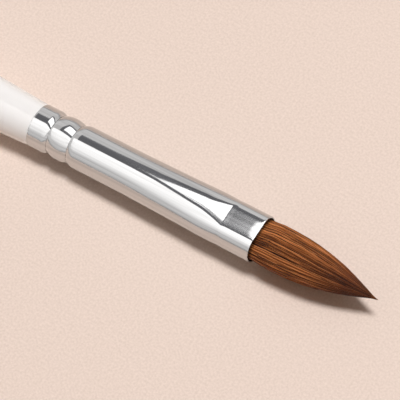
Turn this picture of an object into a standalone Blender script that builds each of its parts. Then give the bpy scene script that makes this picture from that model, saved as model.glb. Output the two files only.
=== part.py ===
"""A pointed hair brush: turned handle, pressed metal ferrule and a bound tuft of hair.

Along the brush, x is counted forwards from the ferrule's back rim. The handle is behind it and the hair in front.
"""
import math

import bmesh
import bpy
from mathutils import Matrix

MM = 0.001

# Ferrule: one drawn tube
TUBE_DIAMETER = 7.5 * MM
TUBE_WALL = 0.3 * MM
FERRULE_LENGTH = 42.8 * MM
GROOVE_PLACES = (3.5 * MM, 7.4 * MM)
GROOVE_DEPTH = 0.42 * MM
GROOVE_STEEP_SIDE = 1.0 * MM
GROOVE_GENTLE_SIDE = 1.9 * MM

# Ferrule: the flats pressed into both faces near the mouth
PRESS_LENGTH = 26.8 * MM
FOLD_LENGTH = 19.3 * MM
FLAT_LENGTH = 6.0 * MM
FLAT_THICKNESS = 5.9 * MM
FLAT_WIDTH = 3.3 * MM
FOLD_WIDTH = 3.8 * MM
FOLD_RUN_OUT = 0.6 * MM
LIP_LENGTH = 0.7 * MM
LIP_FLARE = 0.08 * MM

# Handle
HANDLE_LENGTH = 118.0 * MM
SHOULDER_STEP = 0.05 * MM
BELLY_DIAMETER = 10.2 * MM
BELLY_DISTANCE = 38.0 * MM
TAIL_DIAMETER = 4.8 * MM
TAIL_ROUNDING = 1.4 * MM
TENON_LENGTH = 14.0 * MM
TENON_CHAMFER = 0.6 * MM

# Hair
HAIR_FREE_LENGTH = 21.6 * MM
HAIR_BOUND_LENGTH = 14.0 * MM
HAIR_SWELL = 0.08 * MM
HAIR_SWELL_LENGTH = 3.0 * MM
HAIR_BELLY_FLATNESS = 0.86
HAIR_TIP_FLATNESS = 0.96
HAIR_BLUNTNESS = 2.8
HAIR_POINTEDNESS = 1.25
BEND_LIMIT = math.radians(30.0)

# Glue, resin and thread inside the ferrule
GLUE_LENGTH = 2.0 * MM
RESIN_LENGTH = 4.0 * MM
THREAD_DIAMETER = 0.4 * MM
THREAD_PITCH = 0.8 * MM
THREAD_TURNS = 4
THREAD_FROM_ROOT_END = 1.4 * MM

# Fits
CLEARANCE = 0.3 * MM
BEND_CLEARANCE = 0.06 * MM

# How finely round shapes are divided
SIDES = 32
THREAD_POINTS_PER_TURN = 16

# Sizes that follow from the ones above
TUBE_RADIUS = TUBE_DIAMETER / 2
BORE_INSET = TUBE_WALL + CLEARANCE
PRESS_START = FERRULE_LENGTH - PRESS_LENGTH
FOLD_START = FERRULE_LENGTH - FOLD_LENGTH
CREASE = FERRULE_LENGTH - FLAT_LENGTH
ROOT_END = FERRULE_LENGTH - HAIR_BOUND_LENGTH
TAIL_END = -HANDLE_LENGTH
HAIR_TIP = FERRULE_LENGTH + HAIR_FREE_LENGTH
HALF_STEP = math.pi / SIDES


def ease(t):
    """Smooth rise from 0 to 1 as t goes from 0 to 1."""
    t = min(max(t, 0.0), 1.0)
    return t * t * (3.0 - 2.0 * t)


def stations(start, end, count):
    """Evenly spaced places from start to end, both included."""
    return [start + (end - start) * i / count for i in range(count + 1)]


def groove_depth(x):
    """Depth of the rolled grooves: each is a sharp valley between rounded shoulders."""
    deepest = 0.0
    for place, behind, ahead in (
        (GROOVE_PLACES[0], GROOVE_STEEP_SIDE, GROOVE_GENTLE_SIDE),
        (GROOVE_PLACES[1], GROOVE_GENTLE_SIDE, GROOVE_STEEP_SIDE * 1.4),
    ):
        reach = behind if x < place else ahead
        away = min(abs(x - place) / reach, 1.0)
        deepest = max(deepest, GROOVE_DEPTH * (1.0 - away) ** 1.7)
    return deepest


def groove_stations():
    """Places along the tube that the grooves need."""
    places = [0.0, GROOVE_PLACES[0] - GROOVE_STEEP_SIDE]
    places += [GROOVE_PLACES[0] - GROOVE_STEEP_SIDE * share for share in (0.45, 0.15)]
    places += [GROOVE_PLACES[0]]
    places += [GROOVE_PLACES[0] + GROOVE_GENTLE_SIDE * share for share in (0.12, 0.4, 1.0)]
    places += [GROOVE_PLACES[1] - GROOVE_GENTLE_SIDE * share for share in (0.6, 0.3, 0.1)]
    places += [GROOVE_PLACES[1]]
    places += [GROOVE_PLACES[1] + GROOVE_STEEP_SIDE * 1.4 * share for share in (0.12, 0.4, 1.0)]
    return places


def section(x):
    """Half thickness, half width and half width of the flat of the pressed tube at x."""
    pressed = min(max((x - PRESS_START) / (CREASE - PRESS_START), 0.0), 1.0)
    folded = min(max((x - FOLD_START) / (CREASE - FOLD_START), 0.0), 1.0)
    half_thickness = TUBE_RADIUS - (TUBE_RADIUS - FLAT_THICKNESS / 2) * pressed ** 1.8
    past_crease = ease((x - CREASE) / FOLD_RUN_OUT)
    flat = folded * (FOLD_WIDTH / 2 + (FLAT_WIDTH - FOLD_WIDTH) / 2 * past_crease)
    # The sheet keeps its length round the tube, so what is pressed flat comes out at the sides
    round_share = TUBE_RADIUS - 2.0 * flat / math.pi
    side = math.sqrt(2.0 * round_share ** 2 - half_thickness ** 2)
    flare = LIP_FLARE * ease((x - FERRULE_LENGTH + LIP_LENGTH) / LIP_LENGTH)
    return half_thickness + flare, flat + side + flare, flat


def press(obj):
    """Give a turned piece the pressed tube's section. Its depth below the tube's face stays the same."""
    for vertex in obj.data.vertices:
        x, y, z = vertex.co
        radius = math.hypot(y, z)
        if radius < 1e-6:
            continue
        half_thickness, half_width, flat = section(x)
        inset = TUBE_RADIUS - radius
        kept = min(radius / (TUBE_RADIUS - TUBE_WALL), 1.0)
        vertex.co.y = (y / radius) * (half_width - flat - inset * (1.0 - flat / half_width))
        vertex.co.y += math.copysign(flat * kept, y)
        vertex.co.z = (z / radius) * (half_thickness - inset)


def turned(name, outline, closed=False):
    """A piece turned about the brush's axis from (x, radius) points that run from back to front."""
    mesh = bpy.data.meshes.new(name)
    points = [(x, radius * math.sin(HALF_STEP), radius * math.cos(HALF_STEP)) for x, radius in outline]
    edges = [(i, i + 1) for i in range(len(points) - 1)]
    if closed:
        edges.append((len(points) - 1, 0))
    mesh.from_pydata(points, edges, [])
    obj = bpy.data.objects.new(name, mesh)
    brush.objects.link(obj)
    screw = obj.modifiers.new("turning", 'SCREW')
    screw.axis = 'X'
    screw.steps = SIDES
    screw.render_steps = SIDES
    screw.use_merge_vertices = True
    screw.merge_threshold = 0.00001
    screw.use_normal_flip = True
    return obj


def make_solid(obj):
    """Turn an object with its modifiers into a plain mesh."""
    bpy.context.view_layer.update()
    evaluated = obj.evaluated_get(bpy.context.evaluated_depsgraph_get())
    mesh = bpy.data.meshes.new_from_object(evaluated)
    before = obj.data
    obj.modifiers.clear()
    obj.data = mesh
    bpy.data.meshes.remove(before)
    mesh.name = obj.name


def finish(obj, colour, roughness, metallic, at=0.0):
    """Material, smooth shading and place on the brush's axis."""
    material = bpy.data.materials.new(obj.name)
    material.use_nodes = True
    shader = material.node_tree.nodes["Principled BSDF"]
    shader.inputs["Base Color"].default_value = (*colour, 1.0)
    shader.inputs["Roughness"].default_value = roughness
    shader.inputs["Metallic"].default_value = metallic
    obj.data.materials.append(material)
    if obj.type == 'MESH' and obj.data.polygons:
        obj.data.shade_smooth()
        obj.data.set_sharp_from_angle(angle=math.radians(30))
    obj.parent = axis
    obj.location.x = at


def make_handle():
    """Lacquered wooden handle: a tenon for the ferrule, a shoulder, a full belly and a thin rounded tail."""
    outline = [(TAIL_END, 0.0)]
    tail = TAIL_DIAMETER / 2
    belly = BELLY_DIAMETER / 2
    shoulder = TUBE_RADIUS - SHOULDER_STEP
    for turn in stations(0.0, math.pi / 2, 4):
        outline.append((
            TAIL_END + TAIL_ROUNDING * (1.0 - math.sin(turn)),
            tail - TAIL_ROUNDING * (1.0 - math.cos(turn)),
        ))
    outline[1:] = sorted(outline[1:])
    for x in stations(TAIL_END + TAIL_ROUNDING, -BELLY_DISTANCE, 10)[1:]:
        share = (x - TAIL_END - TAIL_ROUNDING) / (-BELLY_DISTANCE - TAIL_END - TAIL_ROUNDING)
        outline.append((x, tail + (belly - tail) * math.sin(share * math.pi / 2)))
    for x in stations(-BELLY_DISTANCE, -CLEARANCE, 8)[1:]:
        share = (-CLEARANCE - x) / (BELLY_DISTANCE - CLEARANCE)
        outline.append((x, shoulder + (belly - shoulder) * math.sin(share * math.pi / 2)))
    tenon = TUBE_RADIUS - BORE_INSET
    outline.append((-CLEARANCE, tenon))
    for x in groove_stations()[1:]:
        outline.append((x, tenon - groove_depth(x)))
    outline.append((TENON_LENGTH - TENON_CHAMFER, tenon))
    outline.append((TENON_LENGTH, tenon - TENON_CHAMFER))
    outline.append((TENON_LENGTH, 0.0))
    finish(turned("handle", outline), (0.9, 0.9, 0.88), 0.15, 0.0)


def make_ferrule():
    """Drawn metal tube with two rolled grooves, pressed on two faces near the mouth."""
    places = groove_stations() + [PRESS_START]
    places += stations(PRESS_START, FOLD_START, 3)[1:]
    places += stations(FOLD_START, CREASE, 6)[1:]
    places += [CREASE + FOLD_RUN_OUT, FERRULE_LENGTH - LIP_LENGTH, FERRULE_LENGTH]
    outer = [(x, TUBE_RADIUS - groove_depth(x)) for x in places]
    inner = [(x, TUBE_RADIUS - TUBE_WALL - groove_depth(x)) for x in reversed(places)]
    ferrule = turned("ferrule", outer + inner, closed=True)
    make_solid(ferrule)
    press(ferrule)
    finish(ferrule, (0.78, 0.78, 0.8), 0.08, 1.0)


def make_glue():
    """Glue that the tenon pushes ahead of it as the handle goes in."""
    start = TENON_LENGTH + CLEARANCE
    radius = TUBE_RADIUS - BORE_INSET
    outline = [(start, 0.0), (start, radius), (start + GLUE_LENGTH, radius)]
    outline.append((start + GLUE_LENGTH - radius / 6, 0.0))
    glue = turned("handle_glue", outline)
    make_solid(glue)
    press(glue)
    finish(glue, (0.75, 0.62, 0.35), 0.3, 0.0)


def make_resin():
    """Resin plug that sets the roots of the hair."""
    end = ROOT_END - CLEARANCE
    start = end - RESIN_LENGTH
    radius = TUBE_RADIUS - BORE_INSET
    outline = [(start, 0.0), (start, radius)]
    outline += [(x, radius) for x in stations(start, end, 2)[1:]]
    outline.append((end, 0.0))
    resin = turned("hair_resin", outline)
    make_solid(resin)
    press(resin)
    finish(resin, (0.7, 0.5, 0.2), 0.25, 0.0)


def thread_place():
    """Where the winding starts and ends along the brush."""
    start = ROOT_END + THREAD_FROM_ROOT_END
    return start, start + THREAD_TURNS * THREAD_PITCH


def neck_half_thickness():
    """Half thickness of the tuft at the mouth, thin enough to tilt in it to the bend limit."""
    bore = section(FERRULE_LENGTH)[0] - TUBE_WALL
    return bore * math.cos(BEND_LIMIT) - BEND_CLEARANCE


def neck_half_width():
    """Half width of the tuft at the mouth."""
    return section(FERRULE_LENGTH)[1] - BORE_INSET


def make_roots():
    """The bound length of the hair, with a waist under the thread and a hollow for the tuft's rounded end."""
    start, end = thread_place()
    margin = THREAD_DIAMETER / 2 + CLEARANCE
    radius = TUBE_RADIUS - BORE_INSET
    waist = radius - THREAD_DIAMETER - CLEARANCE
    back = start - margin
    front = end + margin
    # The front stays behind the edge of the tuft's neck when that is tilted into the mouth
    face = FERRULE_LENGTH - neck_half_thickness() * math.sin(BEND_LIMIT)
    outline = [(ROOT_END, 0.0), (ROOT_END, radius), (back, radius), (back, waist)]
    outline += [(front, waist), (front, radius)]
    outline += [(x, radius) for x in stations(front, face, 4)[1:]]
    outline.append((face, 0.0))
    roots = turned("hair_roots", outline)
    make_solid(roots)
    press(roots)
    cut = roots.modifiers.new("hollow", 'BOOLEAN')
    cut.object = tuft_end_hollow()
    cut.solver = 'EXACT'
    finish(roots, (0.3, 0.16, 0.08), 0.7, 0.0)


def tuft_end_hollow():
    """Cutter for the hollow that the tuft's rounded end turns in, round the hinge in the mouth."""
    across = neck_half_width() + CLEARANCE
    deep = neck_half_thickness() + CLEARANCE
    mesh = bpy.data.meshes.new("tuft_end_hollow")
    ball = bmesh.new()
    shape = Matrix.Diagonal((deep, across, deep, 1.0))
    bmesh.ops.create_uvsphere(ball, u_segments=SIDES, v_segments=SIDES // 2, radius=1.0, matrix=shape)
    ball.to_mesh(mesh)
    ball.free()
    hollow = bpy.data.objects.new("tuft_end_hollow", mesh)
    hollow.hide_render = True
    hollow.display_type = 'WIRE'
    hollow.parent = axis
    hollow.location.x = FERRULE_LENGTH
    cutters.objects.link(hollow)
    return hollow


def make_thread():
    """Binding thread: a helix that follows the pressed section round the waist of the roots."""
    start, end = thread_place()
    inset = BORE_INSET + THREAD_DIAMETER / 2
    curve = bpy.data.curves.new("binding_thread", 'CURVE')
    curve.dimensions = '3D'
    curve.bevel_depth = THREAD_DIAMETER / 2
    curve.bevel_resolution = 1
    curve.use_fill_caps = True
    count = THREAD_TURNS * THREAD_POINTS_PER_TURN
    spline = curve.splines.new('POLY')
    spline.points.add(count)
    for i, point in enumerate(spline.points):
        turn = 2.0 * math.pi * i / THREAD_POINTS_PER_TURN
        x = start + (end - start) * i / count
        half_thickness, half_width, flat = section(x)
        y = math.copysign(flat, math.cos(turn)) * min(abs(math.cos(turn)) * 4.0, 1.0)
        y += (half_width - flat - inset) * math.cos(turn)
        point.co = (x, y, (half_thickness - inset) * math.sin(turn), 1.0)
    thread = bpy.data.objects.new("binding_thread", curve)
    brush.objects.link(thread)
    finish(thread, (0.85, 0.82, 0.74), 0.8, 0.0)


def make_tuft():
    """The free hair: a rounded end in the mouth that it tilts on, a full belly and a fine point."""
    neck_width = neck_half_width()
    neck_thickness = neck_half_thickness()
    belly_width = section(FERRULE_LENGTH)[1] - TUBE_WALL + HAIR_SWELL
    outline = [(-neck_thickness * math.cos(turn), neck_width * math.sin(turn))
               for turn in stations(0.0, math.pi / 2, 5)]
    outline[0] = (-neck_thickness, 0.0)
    free = [HAIR_SWELL_LENGTH * share for share in (0.15, 0.3, 0.5, 0.75)]
    free += stations(HAIR_SWELL_LENGTH, HAIR_FREE_LENGTH, 12)
    for x in free[:-1]:
        taper = (1.0 - (x / HAIR_FREE_LENGTH) ** HAIR_BLUNTNESS) ** HAIR_POINTEDNESS
        swell = ease(x / HAIR_SWELL_LENGTH)
        outline.append((x, taper * (neck_width + (belly_width - neck_width) * swell)))
    outline.append((HAIR_FREE_LENGTH, 0.0))
    tuft = turned("hair_tuft", outline)
    make_solid(tuft)
    neck_flatness = neck_thickness / neck_width
    clear_of_lip = neck_thickness * math.tan(BEND_LIMIT)
    for vertex in tuft.data.vertices:
        x = vertex.co.x
        swell = ease((x - clear_of_lip) / HAIR_SWELL_LENGTH)
        tip = ease(x / HAIR_FREE_LENGTH)
        full = HAIR_BELLY_FLATNESS + (HAIR_TIP_FLATNESS - HAIR_BELLY_FLATNESS) * tip
        vertex.co.z *= neck_flatness + (full - neck_flatness) * swell
    finish(tuft, (0.36, 0.18, 0.08), 0.5, 0.0, at=FERRULE_LENGTH)


for old in list(bpy.data.objects):
    bpy.data.objects.remove(old)
brush = bpy.data.collections.new("detail_brush")
bpy.context.scene.collection.children.link(brush)
cutters = bpy.data.collections.new("cutters")
bpy.context.scene.collection.children.link(cutters)

# The brush's axis lies over the middle of its length, and its belly touches the ground
axis = bpy.data.objects.new("brush_axis", None)
axis.location = (-(TAIL_END + HAIR_TIP) / 2, 0.0, BELLY_DIAMETER / 2 * math.cos(HALF_STEP))
brush.objects.link(axis)

make_handle()
make_ferrule()
make_glue()
make_resin()
make_roots()
make_thread()
make_tuft()
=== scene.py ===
"""Looks of a pointed hair brush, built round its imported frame. Metres, with +X to the hair's point."""
import math

import bpy
import numpy as np
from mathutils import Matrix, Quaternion, Vector


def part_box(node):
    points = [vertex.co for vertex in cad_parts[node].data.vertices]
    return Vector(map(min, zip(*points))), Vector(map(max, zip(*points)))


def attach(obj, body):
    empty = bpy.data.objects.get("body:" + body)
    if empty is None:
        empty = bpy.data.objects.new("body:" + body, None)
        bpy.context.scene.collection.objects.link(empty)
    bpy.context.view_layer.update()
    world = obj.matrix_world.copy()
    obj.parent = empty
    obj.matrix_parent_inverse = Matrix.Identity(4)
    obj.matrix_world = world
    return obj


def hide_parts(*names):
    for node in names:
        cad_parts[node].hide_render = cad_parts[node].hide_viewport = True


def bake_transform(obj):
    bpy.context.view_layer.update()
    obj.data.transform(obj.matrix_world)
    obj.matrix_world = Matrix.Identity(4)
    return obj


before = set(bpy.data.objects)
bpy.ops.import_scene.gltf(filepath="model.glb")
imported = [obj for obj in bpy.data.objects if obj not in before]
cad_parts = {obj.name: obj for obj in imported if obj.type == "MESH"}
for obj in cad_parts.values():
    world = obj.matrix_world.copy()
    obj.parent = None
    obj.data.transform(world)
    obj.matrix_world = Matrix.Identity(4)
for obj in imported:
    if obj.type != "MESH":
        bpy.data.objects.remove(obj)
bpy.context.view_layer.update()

MM = 0.001

# ----------------------------------------------------------------------------------------------------
# Handle. A birch rod turned to a full belly behind the ferrule and a thin rounded tail, dipped in white
# lacquer and polished. Its tenon is glued into the ferrule, whose two rolled grooves bite into it.
# ----------------------------------------------------------------------------------------------------
HANDLE_SIDES = 160
SHOULDER_RADIUS = 3.7 * MM
BELLY_DISTANCE = 38.0 * MM
TAIL_RADIUS = 2.4 * MM
TAIL_ROUNDING = 1.4 * MM
TENON_RADIUS = 3.15 * MM
TENON_LENGTH = 14.0 * MM
TENON_CHAMFER = 0.6 * MM
# Place, reach behind and reach ahead of each rolled groove, from the ferrule's back rim.
GROOVES = ((3.5 * MM, 1.0 * MM, 1.9 * MM), (7.4 * MM, 1.9 * MM, 1.4 * MM))
GROOVE_DEPTH = 0.42 * MM
SHOULDER_GAP = 0.02 * MM
OUTLINE_STEPS = 60
ROUNDING_STEPS = 12
SHARP_EDGE = math.radians(35)

handle_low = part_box("handle")[0]
ferrule_low, ferrule_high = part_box("ferrule")
rim_x = ferrule_low.x
mouth_x = ferrule_high.x
axis_z = (ferrule_low.z + ferrule_high.z) / 2


def groove_depth(x):
    """Depth of the rolled grooves at x from the back rim: sharp valleys between rounded shoulders."""
    deepest = 0.0
    for place, behind, ahead in GROOVES:
        away = min(abs(x - place) / (behind if x < place else ahead), 1.0)
        deepest = max(deepest, GROOVE_DEPTH * (1 - away) ** 2)
    return deepest


def circle(x, radius, sides):
    """Ring of points round the brush's axis."""
    turns = np.arange(sides) * 2 * math.pi / sides
    return np.array([(x, radius * math.cos(turn), axis_z + radius * math.sin(turn)) for turn in turns])


def skin(name, rings, closed=False):
    """One smooth body from rings of points along the brush. Its ends meet in a point each, or each other."""
    sides = len(rings[0])
    points = [tuple(point) for ring in rings for point in ring]
    faces = []
    for i in range(len(rings) - (0 if closed else 1)):
        here, there = i * sides, (i + 1) % len(rings) * sides
        for j in range(sides):
            k = (j + 1) % sides
            faces.append((here + j, here + k, there + k, there + j))
    if not closed:
        last = (len(rings) - 1) * sides
        points += [tuple(rings[0].mean(axis=0)), tuple(rings[-1].mean(axis=0))]
        for j in range(sides):
            k = (j + 1) % sides
            faces.append((len(points) - 2, k, j))
            faces.append((len(points) - 1, last + j, last + k))
    mesh = bpy.data.meshes.new(name)
    mesh.from_pydata(points, [], faces)
    mesh.shade_smooth()
    mesh.set_sharp_from_angle(angle=SHARP_EDGE)
    piece = bpy.data.objects.new(name, mesh)
    bpy.context.scene.collection.objects.link(piece)
    return piece


def turned_handle():
    """Outline from the tail to the tenon's end, turned round the axis."""
    tail_x = handle_low.x
    belly_x = rim_x - BELLY_DISTANCE
    shoulder_x = rim_x - SHOULDER_GAP
    belly_radius = axis_z
    outline = []
    for turn in np.linspace(math.pi / 2, 0.0, ROUNDING_STEPS):
        x = tail_x + TAIL_ROUNDING * (1 - math.sin(turn))
        outline.append((x, TAIL_RADIUS - TAIL_ROUNDING * (1 - math.cos(turn))))
    for x in np.linspace(tail_x + TAIL_ROUNDING, belly_x, OUTLINE_STEPS)[1:]:
        share = (x - tail_x - TAIL_ROUNDING) / (belly_x - tail_x - TAIL_ROUNDING)
        outline.append((x, TAIL_RADIUS + (belly_radius - TAIL_RADIUS) * math.sin(share * math.pi / 2)))
    for x in np.linspace(belly_x, shoulder_x, OUTLINE_STEPS)[1:]:
        share = (shoulder_x - x) / (shoulder_x - belly_x)
        rise = (belly_radius - SHOULDER_RADIUS) * math.sin(share * math.pi / 2)
        outline.append((x, SHOULDER_RADIUS + rise))
    for x in np.linspace(0.0, TENON_LENGTH - TENON_CHAMFER, OUTLINE_STEPS):
        outline.append((rim_x + x, TENON_RADIUS - groove_depth(x)))
    outline.append((rim_x + TENON_LENGTH, TENON_RADIUS - TENON_CHAMFER))
    return skin("lacquered_handle", [circle(x, radius, HANDLE_SIDES) for x, radius in outline])


def handling_wear():
    """Node group: soft smears and hair-fine lines that run along the brush, for any finish on it."""
    group = bpy.data.node_groups.new("handling wear", 'ShaderNodeTree')
    for name, value in (("Smear size", 60.0), ("Line fineness", 900.0), ("Line stretch", 0.02)):
        group.interface.new_socket(name, in_out='INPUT', socket_type='NodeSocketFloat').default_value = value
    for name in ("Smears", "Lines"):
        group.interface.new_socket(name, in_out='OUTPUT', socket_type='NodeSocketFloat')
    given = group.nodes.new('NodeGroupInput')
    gives = group.nodes.new('NodeGroupOutput')
    place = group.nodes.new('ShaderNodeTexCoord')
    smears = group.nodes.new('ShaderNodeTexNoise')
    smears.inputs["Detail"].default_value = 3.0
    group.links.new(place.outputs["Object"], smears.inputs["Vector"])
    group.links.new(given.outputs["Smear size"], smears.inputs["Scale"])
    stretch = group.nodes.new('ShaderNodeCombineXYZ')
    stretch.inputs["Y"].default_value = 1.0
    stretch.inputs["Z"].default_value = 1.0
    group.links.new(given.outputs["Line stretch"], stretch.inputs["X"])
    along = group.nodes.new('ShaderNodeVectorMath')
    along.operation = 'MULTIPLY'
    group.links.new(place.outputs["Object"], along.inputs[0])
    group.links.new(stretch.outputs["Vector"], along.inputs[1])
    lines = group.nodes.new('ShaderNodeTexNoise')
    lines.inputs["Detail"].default_value = 4.0
    group.links.new(along.outputs["Vector"], lines.inputs["Vector"])
    group.links.new(given.outputs["Line fineness"], lines.inputs["Scale"])
    group.links.new(smears.outputs["Fac"], gives.inputs["Smears"])
    group.links.new(lines.outputs["Fac"], gives.inputs["Lines"])
    return group


wear_group = handling_wear()


def finish_named(name):
    """A new material, its node tree and its shader."""
    material = bpy.data.materials.new(name)
    material.use_nodes = True
    return material, material.node_tree, material.node_tree.nodes["Principled BSDF"]


def placed_wear(tree, smear_size, fineness, stretch):
    """The wear group in one material, with that material's own values."""
    wear = tree.nodes.new('ShaderNodeGroup')
    wear.node_tree = wear_group
    wear.inputs["Smear size"].default_value = smear_size
    wear.inputs["Line fineness"].default_value = fineness
    wear.inputs["Line stretch"].default_value = stretch
    return wear


def spread(tree, source, low, high, low_out, high_out):
    """Map the source's range from low to high onto low_out to high_out."""
    node = tree.nodes.new('ShaderNodeMapRange')
    node.inputs["From Min"].default_value = low
    node.inputs["From Max"].default_value = high
    node.inputs["To Min"].default_value = low_out
    node.inputs["To Max"].default_value = high_out
    tree.links.new(source, node.inputs["Value"])
    return node.outputs["Result"]


def two_tone(tree, share, first, second):
    """Colour between two tones of one finish."""
    mix = tree.nodes.new('ShaderNodeMix')
    mix.data_type = 'RGBA'
    mix.inputs["A"].default_value = (*first, 1)
    mix.inputs["B"].default_value = (*second, 1)
    tree.links.new(share, mix.inputs["Factor"])
    return mix.outputs["Result"]


def bumped(tree, shader, height, strength, distance):
    """Raise the surface by a height."""
    bump = tree.nodes.new('ShaderNodeBump')
    bump.inputs["Strength"].default_value = strength
    bump.inputs["Distance"].default_value = distance
    tree.links.new(height, bump.inputs["Height"])
    tree.links.new(bump.outputs["Normal"], shader.inputs["Normal"])


def white_lacquer():
    material, tree, shader = finish_named("white_lacquer")
    wear = placed_wear(tree, 260.0, 700.0, 0.05)
    tone = spread(tree, wear.outputs["Smears"], 0.3, 0.7, 0.0, 1.0)
    tree.links.new(two_tone(tree, tone, (0.92, 0.93, 0.94), (0.95, 0.96, 0.97)), shader.inputs["Base Color"])
    tree.links.new(spread(tree, wear.outputs["Smears"], 0.3, 0.7, 0.14, 0.24), shader.inputs["Roughness"])
    bumped(tree, shader, wear.outputs["Smears"], 0.15, 0.03 * MM)
    shader.inputs["Coat Weight"].default_value = 0.5
    shader.inputs["Coat Roughness"].default_value = 0.06
    return material


handle = turned_handle()
handle.data.materials.append(white_lacquer())
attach(handle, "brush")
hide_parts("handle")

# ----------------------------------------------------------------------------------------------------
# Ferrule. A seamless tube of thin bright-plated sheet. Two grooves are rolled into it over the handle's
# tenon, and a press flattens both faces behind the mouth: a long V fold, a cross crease and a level flat.
# ----------------------------------------------------------------------------------------------------
FERRULE_SIDES = 240
TUBE_RADIUS = 3.75 * MM
SHEET = 0.2 * MM
EDGE_ROUNDING = 0.06 * MM
PRESS_START = 16.0 * MM
PRESS_CURVE = 1.8
FOLD_START = 23.5 * MM
CREASE = 36.8 * MM
FLAT_HALF_THICKNESS = 2.95 * MM
FOLD_HALF_WIDTH = 1.74 * MM
FOLD_LENGTH = 11.0 * MM
FLARE_START = 32.4 * MM
FLARE_SHARE = 0.58
FLARE_CURVE = 1.7
FLAT_HALF_WIDTH = 1.6 * MM
FOLD_RUN_OUT = 1.0 * MM
FLAT_CROWN = 0.03 * MM
DISH_LENGTH = 1.5 * MM
DISH_DEPTH = 0.07 * MM
LIP_LENGTH = 0.3 * MM
LIP_ROLL = 0.02 * MM
LIP_CURVE = 1.5
SECTION_STEPS = 2001
# First and last place and spacing of the rings, in millimetres: close at the grooves, the crease and the lip.
RING_RUNS = ((0.3, 2.3, 0.3), (2.3, 9.1, 0.09), (9.1, 36.3, 0.35), (36.3, 37.8, 0.09), (37.8, 41.2, 0.3),
             (41.2, 42.7, 0.1))
INNER_RING_SKIP = 3
PRESSED_DULLING = 0.045
ferrule_length = mouth_x - rim_x


def ease(t):
    """Smooth rise from 0 to 1."""
    t = min(max(t, 0.0), 1.0)
    return t * t * (3 - 2 * t)


def section(x):
    """Half thickness, half width and half width of the flat at x from the back rim."""
    pressed = min(max((x - PRESS_START) / (CREASE - PRESS_START), 0.0), 1.0)
    flared = min(max((x - FLARE_START) / (CREASE - FLARE_START), 0.0), 1.0) ** FLARE_CURVE
    opened = min(max((x - FOLD_START) / FOLD_LENGTH, 0.0), 1.0)
    folded = (1 - FLARE_SHARE) * opened + FLARE_SHARE * flared
    half_thickness = TUBE_RADIUS - (TUBE_RADIUS - FLAT_HALF_THICKNESS) * pressed ** PRESS_CURVE
    run_out = ease((x - CREASE) / FOLD_RUN_OUT)
    flat = folded * (FOLD_HALF_WIDTH + (FLAT_HALF_WIDTH - FOLD_HALF_WIDTH) * run_out)
    round_share = TUBE_RADIUS - 2 * flat / math.pi
    side = math.sqrt(2 * round_share ** 2 - half_thickness ** 2)
    roll = LIP_ROLL * max((x - ferrule_length + LIP_LENGTH) / LIP_LENGTH, 0.0) ** LIP_CURVE
    return half_thickness - roll, flat + side - roll, flat


def pressed_ring(x, inset):
    """Points evenly round the pressed section at x from the back rim, inset below the outer face."""
    half_thickness, half_width, flat = section(x)
    inset = inset + groove_depth(x)
    turns = np.linspace(0, 2 * math.pi, SECTION_STEPS)
    across = (half_width - flat - inset) * np.cos(turns) + np.sign(np.cos(turns)) * flat
    up = (half_thickness - inset) * np.sin(turns)
    gone = np.concatenate(([0.0], np.cumsum(np.hypot(np.diff(across), np.diff(up)))))
    stops = np.arange(FERRULE_SIDES) * gone[-1] / FERRULE_SIDES
    ring = np.empty((FERRULE_SIDES, 3))
    ring[:, 0] = rim_x + x
    ring[:, 1] = np.interp(stops, gone, across)
    level = np.interp(stops, gone, up)
    dish = DISH_DEPTH * max((x - ferrule_length + DISH_LENGTH) / DISH_LENGTH, 0.0) ** 2
    middle = np.maximum(1 - (ring[:, 1] / max(flat, 0.01 * MM)) ** 2, 0.0)
    crown = FLAT_CROWN * flat / FLAT_HALF_WIDTH - dish
    ring[:, 2] = axis_z + level + crown * middle * np.sign(level)
    return ring


def drawn_tube():
    """Outer face from rim to lip, then the inner face back. The rims are rounded."""
    rim = [EDGE_ROUNDING * share for share in (0.0, 0.12, 0.4, 1.0)]
    places = [x * MM for first, last, step in RING_RUNS for x in np.arange(first, last, step)]
    places += [place for place, _, _ in GROOVES] + [CREASE]
    places = sorted(places + rim + [ferrule_length - x for x in rim])
    rings = []
    for x in places:
        edge = min(min(x, ferrule_length - x) / EDGE_ROUNDING, 1.0)
        rings.append(pressed_ring(x, EDGE_ROUNDING * (1 - math.sqrt(1 - (1 - edge) ** 2))))
    for x in reversed(places[::INNER_RING_SKIP]):
        rings.append(pressed_ring(x, SHEET))
    return skin("bright_ferrule", rings, closed=True)


def bright_plating():
    material, tree, shader = finish_named("bright_plating")
    wear = placed_wear(tree, 90.0, 1500.0, 0.012)
    lines = spread(tree, wear.outputs["Lines"], 0.38, 0.62, 0.0, 1.0)
    plating = two_tone(tree, lines, (0.49, 0.485, 0.48), (0.6, 0.595, 0.59))
    tree.links.new(plating, shader.inputs["Base Color"])
    pressed = tree.nodes.new('ShaderNodeAttribute')
    pressed.attribute_name = "pressed"
    polish = spread(tree, wear.outputs["Smears"], 0.3, 0.7, 0.06, 0.1)
    dulling = spread(tree, pressed.outputs["Fac"], 0.0, 1.0, 0.0, PRESSED_DULLING)
    rough = tree.nodes.new('ShaderNodeMath')
    tree.links.new(polish, rough.inputs[0])
    tree.links.new(dulling, rough.inputs[1])
    tree.links.new(rough.outputs["Value"], shader.inputs["Roughness"])
    bumped(tree, shader, wear.outputs["Lines"], 0.08, 0.01 * MM)
    shader.inputs["Metallic"].default_value = 1.0
    return material


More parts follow.
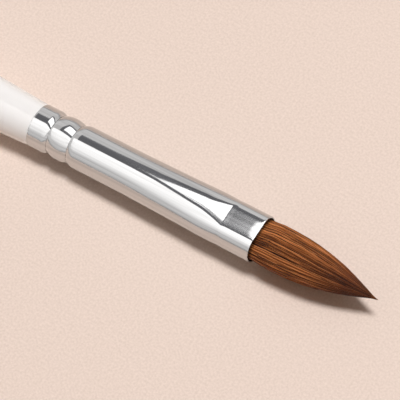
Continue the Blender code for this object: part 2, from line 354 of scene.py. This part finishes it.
ferrule = drawn_tube()
flat_start = rim_x + CREASE + 0.1 * MM
flat_reach = 0.94 * FLAT_HALF_WIDTH
on_flat = []
for corner in ferrule.data.vertices:
    on_flat.append(1.0 if corner.co.x > flat_start and abs(corner.co.y) < flat_reach else 0.0)
pressed_mask = ferrule.data.attributes.new("pressed", 'FLOAT', 'POINT')
pressed_mask.data.foreach_set("value", np.array(on_flat, np.float32))
ferrule.data.materials.append(bright_plating())
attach(ferrule, "brush")
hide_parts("ferrule")

# ----------------------------------------------------------------------------------------------------
# Inside the ferrule. Glue that the tenon pushed ahead of it, the resin plug that sets the hair, the roots
# of the hair and the thread wound round them. They keep their own shapes and get their real finishes.
# ----------------------------------------------------------------------------------------------------
INSIDE_FINISHES = (
    ("handle_glue", "dried_glue", (0.66, 0.52, 0.26), (0.8, 0.7, 0.42), 0.3, 400.0),
    ("hair_resin", "amber_resin", (0.5, 0.3, 0.08), (0.72, 0.5, 0.18), 0.2, 300.0),
    ("hair_roots", "bound_hair", (0.05, 0.02, 0.008), (0.2, 0.08, 0.03), 0.5, 2500.0),
    ("binding_thread", "waxed_thread", (0.6, 0.56, 0.48), (0.85, 0.82, 0.74), 0.6, 3000.0),
)


def inside_finish(name, dark, light, roughness, fineness):
    material, tree, shader = finish_named(name)
    wear = placed_wear(tree, fineness / 4, fineness, 0.1)
    share = spread(tree, wear.outputs["Lines"], 0.3, 0.7, 0.0, 1.0)
    tree.links.new(two_tone(tree, share, dark, light), shader.inputs["Base Color"])
    rough = spread(tree, wear.outputs["Smears"], 0.3, 0.7, roughness - 0.08, roughness + 0.08)
    tree.links.new(rough, shader.inputs["Roughness"])
    bumped(tree, shader, wear.outputs["Lines"], 0.4, 0.03 * MM)
    return material


for node_name, finish_name, dark, light, roughness, fineness in INSIDE_FINISHES:
    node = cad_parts[node_name]
    node.data.materials.clear()
    node.data.materials.append(inside_finish(finish_name, dark, light, roughness, fineness))

# ----------------------------------------------------------------------------------------------------
# Hair. A bundle of fine brown natural hair, cupped to a full belly and a long point. It is set inside the
# ferrule and bends at the mouth. Each hair is a strand of its own over a packed core, coloured dark as
# painted shade between the strands.
# ----------------------------------------------------------------------------------------------------
HAIR_LENGTH = 21.6 * MM
HAIR_INSIDE = 1.2 * MM
NECK_GAP = 0.2 * MM
BELLY_INSET = 0.3 * MM
BELLY_GAIN = 0.08 * MM
BELLY_LENGTH = 3.0 * MM
BELLY_FLATNESS = 0.86
TIP_FLATNESS = 0.96
BLUNTNESS = 2.8
POINTEDNESS = 1.25
STRAND_COUNT = 2100
STRAND_SIDES = 3
STRAND_RADIUS = 0.057 * MM
LOCK_COUNT = 150
LOCK_TONE = 0.12
STRAND_TONE = 0.42
STRAND_DEPTH = 0.2
CORE_SIDES = 96
CORE_RINGS = 40
CORE_SHARE = 0.88
# The core's colour is painted shade: its darkest tone, seen between the strands.
CORE_PAINTED_SHADE_TONE = 0.1
# Place along the hair, then red and the other two shares of its brown there: the end of the painted shade at
# the mouth, dark point, fair ends.
MOUTH_SHADE_AND_POINT_TONES = ((0.02, 1.0, 1.0), (0.45, 1.0, 1.0), (0.74, 0.36, 0.28), (0.93, 0.24, 0.2), (0.98, 0.7, 0.65))
# Shares of a strand where it has a ring, close together where the bundle bends.
STRAND_STOPS = np.concatenate((np.linspace(0.0, 0.18, 7), np.linspace(0.27, 0.79, 6), (0.88, 0.95, 1.0)))

chance = np.random.default_rng(7)


def bundle_size(forward):
    """Half width and half thickness of the bundle at a distance forward of the mouth."""
    thickness, width, _ = section(ferrule_length)
    neck_width = width - SHEET - NECK_GAP
    neck_thickness = thickness - SHEET - NECK_GAP
    belly_width = width - BELLY_INSET + BELLY_GAIN
    u = min(max(forward / HAIR_LENGTH, 0.0), 1.0)
    taper = (1 - u ** BLUNTNESS) ** POINTEDNESS
    swell = ease(forward / BELLY_LENGTH)
    half_width = neck_width + (belly_width - neck_width) * swell
    flatness = neck_thickness / neck_width
    flatness += (BELLY_FLATNESS + (TIP_FLATNESS - BELLY_FLATNESS) * ease(u) - flatness) * swell
    return taper * half_width, taper * half_width * flatness


def strand_points():
    """Centre line, radius and tone of each strand, from just inside the mouth to its own end."""
    locks = chance.uniform(0, 2 * math.pi, LOCK_COUNT)
    lock_tone = chance.uniform(-LOCK_TONE, LOCK_TONE, LOCK_COUNT)
    strands = []
    for i in range(STRAND_COUNT):
        around = chance.uniform(0, 2 * math.pi)
        outward = 1 - STRAND_DEPTH * chance.uniform() ** 1.2
        pull = np.angle(np.exp(1j * (locks - around)))
        lock = int(np.argmin(np.abs(pull)))
        gather = chance.uniform(0.2, 0.8)
        end = HAIR_LENGTH * (1 - min(abs(chance.normal(0, 0.05)), 0.25))
        phase = chance.uniform(0, 2 * math.pi)
        wave = chance.uniform(0.5, 1.8)
        sway = chance.normal(0, 0.02)
        tone = min(max(0.5 + lock_tone[lock] + chance.normal(0, STRAND_TONE), 0.0), 1.0)
        centres = []
        for share in STRAND_STOPS:
            forward = -HAIR_INSIDE + (end + HAIR_INSIDE) * share
            u = max(forward, 0.0) / HAIR_LENGTH
            turn = around + pull[lock] * gather * ease(u * 1.4)
            turn = turn + sway * math.sin(phase + 2 * math.pi * wave * u)
            half_width, half_thickness = bundle_size(forward)
            reach = outward + 0.02 * math.sin(1.7 * phase + 9 * u) * ease(u * 3)
            across = reach * max(half_width - STRAND_RADIUS, 0.02 * MM) * math.cos(turn)
            up = reach * max(half_thickness - STRAND_RADIUS, 0.02 * MM) * math.sin(turn)
            centres.append((mouth_x + forward, across, axis_z + up))
        radius = STRAND_RADIUS * chance.uniform(0.8, 1.2)
        radii = [radius * (1 - share ** 5) ** 0.6 * (1 - 0.35 * share) for share in STRAND_STOPS]
        strands.append((np.array(centres), radii, tone))
    return strands


def mark(mesh, name, values):
    """One value at each corner, for the material to read."""
    mesh.attributes.new(name, 'FLOAT', 'POINT').data.foreach_set("value", np.array(values, np.float32))


def hair_strands():
    """All strands in one mesh, each a thin closed tube, with its tone and its place along the hair."""
    points, faces, tones, places = [], [], [], []
    turns = np.arange(STRAND_SIDES) * 2 * math.pi / STRAND_SIDES
    for centres, radii, tone in strand_points():
        first = len(points)
        twist = chance.uniform(0, math.pi)
        for centre, radius in zip(centres[:-1], radii[:-1]):
            for turn in turns:
                points.append((centre[0], centre[1] + radius * math.cos(turn + twist),
                               centre[2] + radius * math.sin(turn + twist)))
        points.append(tuple(centres[-1]))
        tip = len(points) - 1
        rings = len(centres) - 1
        for i in range(rings - 1):
            for j in range(STRAND_SIDES):
                k = (j + 1) % STRAND_SIDES
                here, there = first + i * STRAND_SIDES, first + (i + 1) * STRAND_SIDES
                faces.append((here + j, here + k, there + k, there + j))
        last = first + (rings - 1) * STRAND_SIDES
        for j in range(STRAND_SIDES):
            faces.append((last + j, last + (j + 1) % STRAND_SIDES, tip))
        faces.append(tuple(first + j for j in reversed(range(STRAND_SIDES))))
        tones += [tone] * (len(points) - first)
    for point in points:
        places.append(min(max((point[0] - mouth_x) / HAIR_LENGTH, 0.0), 1.0))
    mesh = bpy.data.meshes.new("hair_strands")
    mesh.from_pydata(points, [], faces)
    mesh.shade_smooth()
    mark(mesh, "tone", tones)
    mark(mesh, "along", places)
    piece = bpy.data.objects.new("hair_strands", mesh)
    bpy.context.scene.collection.objects.link(piece)
    return piece


def hair_core():
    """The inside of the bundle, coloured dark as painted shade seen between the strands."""
    rings = []
    for forward in np.linspace(-HAIR_INSIDE, 0.9 * HAIR_LENGTH, CORE_RINGS):
        half_width, half_thickness = bundle_size(forward)
        turns = np.arange(CORE_SIDES) * 2 * math.pi / CORE_SIDES
        ring = np.empty((CORE_SIDES, 3))
        ring[:, 0] = mouth_x + forward
        ring[:, 1] = CORE_SHARE * half_width * np.cos(turns)
        ring[:, 2] = axis_z + CORE_SHARE * half_thickness * np.sin(turns)
        rings.append(ring)
    core = skin("hair_core", rings)
    places = [min(max((v.co.x - mouth_x) / HAIR_LENGTH, 0.0), 1.0) for v in core.data.vertices]
    mark(core.data, "along", places)
    mark(core.data, "tone", [CORE_PAINTED_SHADE_TONE] * len(places))
    return core


def brown_hair(name, darker):
    """Brown along the belly, darker towards the point, with fair ends and painted shade at the mouth."""
    material, tree, shader = finish_named(name)
    tone = tree.nodes.new('ShaderNodeAttribute')
    tone.attribute_name = "tone"
    along = tree.nodes.new('ShaderNodeAttribute')
    along.attribute_name = "along"
    wear = placed_wear(tree, 500.0, 4000.0, 0.02)
    body = tree.nodes.new('ShaderNodeValToRGB')
    body.color_ramp.elements[0].position = 0.0
    body.color_ramp.elements[0].color = (0.022 * darker, 0.006 * darker, 0.001 * darker, 1)
    body.color_ramp.elements[1].position = 1.0
    body.color_ramp.elements[1].color = (0.78 * darker, 0.3 * darker, 0.1 * darker, 1)
    middle = body.color_ramp.elements.new(0.5)
    middle.color = (0.27 * darker, 0.076 * darker, 0.016 * darker, 1)
    tree.links.new(tone.outputs["Fac"], body.inputs["Fac"])
    point = tree.nodes.new('ShaderNodeValToRGB')
    # Painted shade: the hair is a tenth as bright at the mouth and inside the ferrule, rising to full colour
    # 0.02 along.
    point.color_ramp.elements[0].position = 0.0
    point.color_ramp.elements[0].color = (0.1, 0.1, 0.1, 1)
    point.color_ramp.elements[1].position = 1.0
    point.color_ramp.elements[1].color = (1.8, 1.8, 1.7, 1)
    for place, red, rest in MOUTH_SHADE_AND_POINT_TONES:
        stop = point.color_ramp.elements.new(place)
        stop.color = (red, rest, rest, 1)
    tree.links.new(along.outputs["Fac"], point.inputs["Fac"])
    shade = tree.nodes.new('ShaderNodeMix')
    shade.data_type = 'RGBA'
    shade.blend_type = 'MULTIPLY'
    shade.inputs["Factor"].default_value = 1.0
    tree.links.new(body.outputs["Color"], shade.inputs["A"])
    tree.links.new(point.outputs["Color"], shade.inputs["B"])
    tree.links.new(shade.outputs["Result"], shader.inputs["Base Color"])
    tree.links.new(spread(tree, wear.outputs["Smears"], 0.3, 0.7, 0.32, 0.46), shader.inputs["Roughness"])
    shader.inputs["Specular IOR Level"].default_value = 0.22
    return material


strands = hair_strands()
strands.data.materials.append(brown_hair("brown_hair", 1.0))
core = hair_core()
# Painted shade: the core gets the hair's brown at 0.4 strength, dark where the strands leave gaps.
core.data.materials.append(brown_hair("packed_hair_painted_shade", 0.4))
for piece in (strands, core):
    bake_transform(piece)
    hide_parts("hair_tuft")

# ----------------------------------------------------------------------------------------------------
# Studio. A pale warm table top in a light grey room, under a level softbox on the far side with a charcoal
# board round it, a wide panel on the near side that fades out, and a small key light almost overhead. The
# lens is long and looks steeply down along the brush.
# ----------------------------------------------------------------------------------------------------
PANEL_HEIGHT = 1.5
PANEL_TURN = math.radians(-8.1)
BOARD_LIFT = 1.02
TABLE_HALF = 4.0
VIEW_AZIMUTH = math.radians(-48.45)
VIEW_ELEVATION = math.radians(62.0)
VIEW_ROLL = math.radians(17.69)
VIEW_DISTANCE = 476.3 * MM
VIEW_TARGET = Vector((57.26 * MM, 1.23 * MM, 5.07 * MM))
studio_middle = Vector(((rim_x + mouth_x) / 2, 0.0, 0.0))


def table_top():
    mesh = bpy.data.meshes.new("table_top")
    half = TABLE_HALF
    corners = [(-half, -half, 0), (half, -half, 0), (half, half, 0), (-half, half, 0)]
    mesh.from_pydata(corners, [], [(0, 1, 2, 3)])
    table = bpy.data.objects.new("table_top", mesh)
    bpy.context.scene.collection.objects.link(table)
    material, tree, shader = finish_named("pale_table")
    wear = placed_wear(tree, 90.0, 2600.0, 1.0)
    share = spread(tree, wear.outputs["Lines"], 0.3, 0.7, 0.0, 1.0)
    grain = two_tone(tree, share, (0.745, 0.62, 0.545), (0.86, 0.73, 0.655))
    tree.links.new(grain, shader.inputs["Base Color"])
    bumped(tree, shader, wear.outputs["Lines"], 0.45, 0.05 * MM)
    tree.links.new(spread(tree, wear.outputs["Smears"], 0.3, 0.7, 0.5, 0.6), shader.inputs["Roughness"])
    mesh.materials.append(material)
    return table


def area_light(name, place, turn, width, height, brightness, shape='RECTANGLE'):
    """Even light of one brightness all over its face."""
    light = bpy.data.lights.new(name, 'AREA')
    light.shape = shape
    light.size = width
    light.size_y = height
    round_share = math.pi / 4 if shape == 'DISK' else 1.0
    light.energy = brightness * math.pi * width * height * round_share
    lamp = bpy.data.objects.new(name, light)
    lamp.location = studio_middle + Vector(place)
    lamp.rotation_euler = turn
    lamp.visible_camera = False
    bpy.context.scene.collection.objects.link(lamp)
    return lamp


def overhead(name, slope_x, slope_y, width, height, brightness, shape='RECTANGLE'):
    """Level light over the brush. Its place and size are slopes seen from the table, so 1 is 45 degrees."""
    place = (slope_x * PANEL_HEIGHT, slope_y * PANEL_HEIGHT, PANEL_HEIGHT)
    turn = (0.0, 0.0, PANEL_TURN)
    return area_light(name, place, turn, width * PANEL_HEIGHT, height * PANEL_HEIGHT, brightness, shape)


def fading(lamp):
    """The light fades along its height, from full to nothing at its near edge."""
    lamp.data.use_nodes = True
    tree = lamp.data.node_tree
    glow = tree.nodes["Emission"]
    face = tree.nodes.new('ShaderNodeNewGeometry')
    split = tree.nodes.new('ShaderNodeSeparateXYZ')
    tree.links.new(face.outputs["Parametric"], split.inputs["Vector"])
    fade = spread(tree, split.outputs["Y"], 0.0, 1.0, 0.0, 1.0)
    tree.links.new(fade, glow.inputs["Strength"])


def board(name, slope_x, slope_y, width, height):
    """Charcoal board a little above the lights, placed and sized by slopes like them."""
    mesh = bpy.data.meshes.new(name)
    across, along = width / 2 * PANEL_HEIGHT, height / 2 * PANEL_HEIGHT
    corners = [(-across, -along, 0), (-across, along, 0), (across, along, 0), (across, -along, 0)]
    mesh.from_pydata(corners, [], [(0, 1, 2, 3)])
    panel = bpy.data.objects.new(name, mesh)
    panel.location = studio_middle + Vector((slope_x, slope_y, 1.0)) * PANEL_HEIGHT * BOARD_LIFT
    panel.rotation_euler = (0.0, 0.0, PANEL_TURN)
    material, tree, shader = finish_named("charcoal_board")
    wear = placed_wear(tree, 20.0, 200.0, 1.0)
    share = spread(tree, wear.outputs["Smears"], 0.3, 0.7, 0.0, 1.0)
    charcoal = two_tone(tree, share, (0.2, 0.2, 0.215), (0.22, 0.22, 0.235))
    tree.links.new(charcoal, shader.inputs["Emission Color"])
    shader.inputs["Emission Strength"].default_value = 1.0
    shader.inputs["Base Color"].default_value = (0, 0, 0, 1)
    shader.inputs["Specular IOR Level"].default_value = 0.0
    mesh.materials.append(material)
    bpy.context.scene.collection.objects.link(panel)
    panel.visible_camera = False
    panel.visible_diffuse = False
    panel.visible_shadow = False
    return panel


table = table_top()
dark_rim = board("dark_rim", slope_x=0.52, slope_y=0.645, width=2.2, height=1.41)
far_panel = overhead("far_panel", slope_x=0.5, slope_y=0.5875, width=1.6, height=0.825, brightness=2.1)
near_panel = overhead("near_panel", slope_x=-0.5, slope_y=-0.897, width=3.4, height=1.95, brightness=1.15)
fading(near_panel)
for lamp in (far_panel, near_panel):
    lamp.visible_diffuse = False
key = overhead("key_light", slope_x=0.13, slope_y=0.14, width=0.24, height=0.24, brightness=61.0,
               shape='DISK')
key.visible_glossy = False

room = bpy.data.worlds.new("studio_room")
room.use_nodes = True
tree = room.node_tree
ray = tree.nodes.new('ShaderNodeLightPath')
reflected = two_tone(tree, ray.outputs["Is Glossy Ray"], (0.19, 0.135, 0.1), (0.9, 0.89, 0.89))
shown = two_tone(tree, ray.outputs["Is Camera Ray"], (0.0, 0.0, 0.0), (0.84, 0.7, 0.6))
tree.links.new(reflected, shown.node.inputs["A"])
tree.links.new(shown, tree.nodes["Background"].inputs["Color"])
direction = tree.nodes.new('ShaderNodeTexCoord')
height = tree.nodes.new('ShaderNodeSeparateXYZ')
tree.links.new(direction.outputs["Generated"], height.inputs["Vector"])
skirting = spread(tree, height.outputs["Z"], 0.0, 0.2, 0.55, 1.0)
tree.links.new(skirting, tree.nodes["Background"].inputs["Strength"])
bpy.context.scene.world = room

camera_data = bpy.data.cameras.new("camera")
camera_data.lens = 270.0
camera_data.sensor_width = 36.0
camera = bpy.data.objects.new("camera", camera_data)
level = math.cos(VIEW_ELEVATION)
aim = Vector((math.sin(VIEW_AZIMUTH) * level, math.cos(VIEW_AZIMUTH) * level, -math.sin(VIEW_ELEVATION)))
camera.location = VIEW_TARGET - aim * VIEW_DISTANCE
camera.rotation_mode = 'QUATERNION'
camera.rotation_quaternion = aim.to_track_quat('-Z', 'Y') @ Quaternion((0, 0, 1), -VIEW_ROLL)
bpy.context.scene.collection.objects.link(camera)
bpy.context.scene.camera = camera
bpy.context.scene.view_settings.view_transform = "Standard"

bpy.context.view_layer.update()
